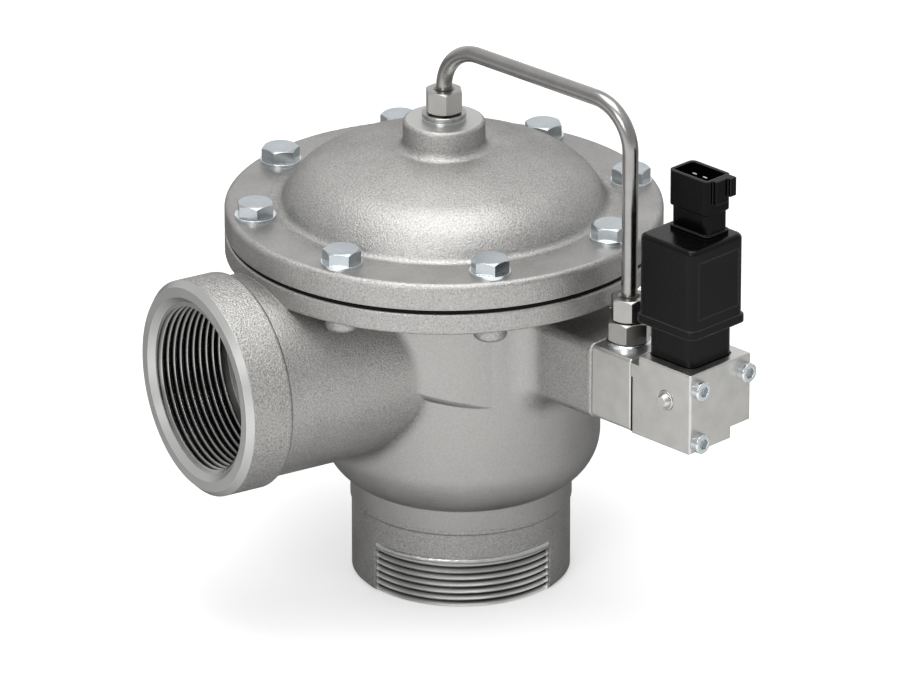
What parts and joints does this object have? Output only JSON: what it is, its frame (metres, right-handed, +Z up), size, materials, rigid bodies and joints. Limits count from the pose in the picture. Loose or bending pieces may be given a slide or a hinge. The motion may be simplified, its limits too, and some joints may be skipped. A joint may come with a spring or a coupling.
{
  "type": "dust collector pulse valve",
  "caption": "Right-angle diaphragm pulse valve with threaded ports, domed bolted cover, bent pilot tube and solenoid pilot block with an open connector.",
  "frame": {"origin": "centre of the outlet neck's bottom face", "axes": "+Z up, along the outlet's axis towards the cover; -X out of the inlet; the pilot block lies towards -Y, turned 14 degrees to +X"},
  "size_m": [0.255, 0.2938, 0.29],
  "materials": {
    "cast_aluminium": "bead-blasted casting, fine grain",
    "machined_aluminium": "satin, machined and lightly blasted",
    "zinc_plated_steel": "bright blue zinc plating",
    "stainless_steel": "turned, fine tool marks",
    "polished_tube": "drawn and polished",
    "spring_steel": "bright drawn wire",
    "black_rubber": "matt",
    "black_moulding": "fine moulded grain",
    "black_connector": "satin gloss",
    "bobbin_plastic": "moulded, natural colour",
    "copper_wire": "enamelled winding",
    "brass": "turned",
    "tinned_pins": "tin plated"
  },
  "bodies": {
    "housing": {"valve_body": "cast_aluminium", "cover": "cast_aluminium", "main_diaphragm": "black_rubber", "main_spring": "spring_steel", "cover_bolts": "zinc_plated_steel", "cover_washers": "zinc_plated_steel", "top_fitting": "stainless_steel", "top_sealing_washer": "stainless_steel", "top_tube_nut": "stainless_steel", "top_cutting_ring": "stainless_steel", "pilot_tube": "polished_tube", "lower_fitting": "stainless_steel", "lower_sealing_washer": "stainless_steel", "lower_tube_nut": "stainless_steel", "lower_cutting_ring": "stainless_steel", "pilot_base_block": "machined_aluminium", "pilot_block_seal": "black_rubber", "pilot_cover_block": "machined_aluminium", "pilot_screws": "zinc_plated_steel", "pilot_plug": "machined_aluminium", "pilot_seat": "brass", "guide_tube": "stainless_steel", "guide_tube_seal": "black_rubber", "fixed_core": "stainless_steel", "armature_spring": "spring_steel", "coil_foot": "black_moulding", "coil_housing": "black_moulding", "coil_bobbin": "bobbin_plastic", "coil_winding": "copper_wire", "connector_shell": "black_connector", "connector_pins": "tinned_pins"},
    "diaphragm_unit": {"diaphragm_top_plate": "zinc_plated_steel", "diaphragm_seat_disc": "black_rubber", "diaphragm_retainer": "zinc_plated_steel", "diaphragm_screw": "zinc_plated_steel", "diaphragm_nut": "zinc_plated_steel"},
    "armature_unit": {"armature": "stainless_steel", "armature_seal": "black_rubber"}
  },
  "joints": [
    {"name": "diaphragm_lift", "type": "slide", "parent": "housing", "child": "diaphragm_unit", "axis": [0, 0, 1], "range_m": [0, 0.01], "stiffness_N_per_m": 1500, "springref_m": -0.02, "deforming": ["main_diaphragm", "main_spring"]},
    {"name": "armature_lift", "type": "slide", "parent": "housing", "child": "armature_unit", "axis": [0, 0, 1], "range_m": [0, 0.0018], "stiffness_N_per_m": 300, "springref_m": -0.006, "deforming": ["armature_spring"]}
  ]
}
